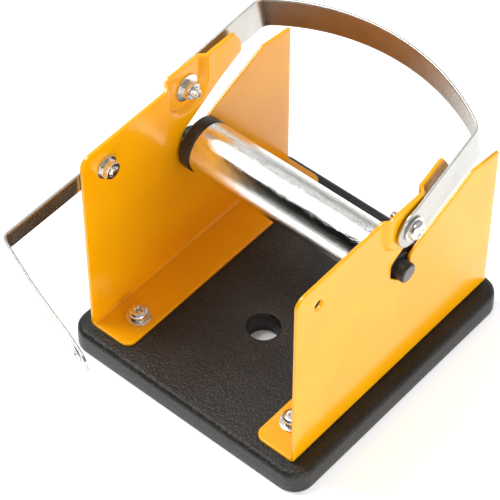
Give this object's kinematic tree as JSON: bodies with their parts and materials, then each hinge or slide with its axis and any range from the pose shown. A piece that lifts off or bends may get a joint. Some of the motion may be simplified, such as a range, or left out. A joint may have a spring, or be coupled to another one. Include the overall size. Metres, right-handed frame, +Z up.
{
  "type": "solder wire spool holder",
  "caption": "Bench holder for a reel of solder wire: black base, two yellow sheet brackets with hooked slots, chrome roller on a lift-out axle, swinging bail and swinging wire guide.",
  "frame": {"origin": "on the bench, in the middle of the object's whole footprint with the wire guide reaching forward", "axes": "+X along the roller to the bracket without the wire guide, +Y to the back where the slots open and the bail leans, +Z up"},
  "size_m": [0.1218, 0.1856, 0.1182],
  "materials": {
    "base_plastic": "fine-grained charcoal moulding",
    "foot_rubber": "matt black rubber",
    "bracket_paint": "glossy yellow-orange paint",
    "axle_steel": "blackened steel, bare ground ends",
    "roller_chrome": "polished chrome plate",
    "bush_plastic": "satin black moulding",
    "bail_steel": "bright plated spring strip",
    "guide_steel": "bright plated spring strip",
    "eyelet_steel": "bright plated rolled eyelet",
    "fastener_zinc": "bright zinc plate"
  },
  "bodies": {
    "stand": {"bail_nut_left": "fastener_zinc", "bail_nut_right": "fastener_zinc", "bail_screw_left": "fastener_zinc", "bail_screw_right": "fastener_zinc", "bail_washer_inner_left": "fastener_zinc", "bail_washer_inner_right": "fastener_zinc", "bail_washer_middle_left": "fastener_zinc", "bail_washer_middle_right": "fastener_zinc", "bail_washer_outer_left": "fastener_zinc", "bail_washer_outer_right": "fastener_zinc", "base_plate": "base_plastic", "bracket_left": "bracket_paint", "bracket_right": "bracket_paint", "flange_nut_front_left": "fastener_zinc", "flange_nut_front_right": "fastener_zinc", "flange_nut_rear_left": "fastener_zinc", "flange_nut_rear_right": "fastener_zinc", "flange_screw_front_left": "fastener_zinc", "flange_screw_front_right": "fastener_zinc", "flange_screw_rear_left": "fastener_zinc", "flange_screw_rear_right": "fastener_zinc", "flange_spring_washer_front_left": "fastener_zinc", "flange_spring_washer_front_right": "fastener_zinc", "flange_spring_washer_rear_left": "fastener_zinc", "flange_spring_washer_rear_right": "fastener_zinc", "flange_washer_front_left": "fastener_zinc", "flange_washer_front_right": "fastener_zinc", "flange_washer_rear_left": "fastener_zinc", "flange_washer_rear_right": "fastener_zinc", "foot_front_left": "foot_rubber", "foot_front_right": "foot_rubber", "foot_rear_left": "foot_rubber", "foot_rear_right": "foot_rubber", "guide_nut": "fastener_zinc", "guide_screw": "fastener_zinc", "guide_washer_inner": "fastener_zinc", "guide_washer_outer": "fastener_zinc"},
    "axle": {"axle_rod": "axle_steel"},
    "roller": {"roller_tube": "roller_chrome", "roller_bush_left": "bush_plastic", "roller_bush_right": "bush_plastic"},
    "bail": {"bail": "bail_steel"},
    "wire_guide": {"wire_guide": "guide_steel", "guide_eyelet": "eyelet_steel"}
  },
  "joints": [
    {"name": "axle_lift", "type": "slide", "parent": "stand", "child": "axle", "axis": [0, 0, 1], "range_m": [0, 0.007]},
    {"name": "roller_spin", "type": "hinge", "parent": "axle", "child": "roller", "pos_m": [0, 0.03116, 0.0696], "axis": [1, 0, 0], "continuous": true},
    {"name": "bail_swing", "type": "hinge", "parent": "stand", "child": "bail", "pos_m": [0, 0.02952, 0.0978], "axis": [1, 0, 0], "range_deg": [-9, 140]},
    {"name": "guide_swing", "type": "hinge", "parent": "stand", "child": "wire_guide", "pos_m": [-0.05345, -0.01872, 0.0941], "axis": [1, 0, 0], "range_deg": [-60, 60]}
  ]
}
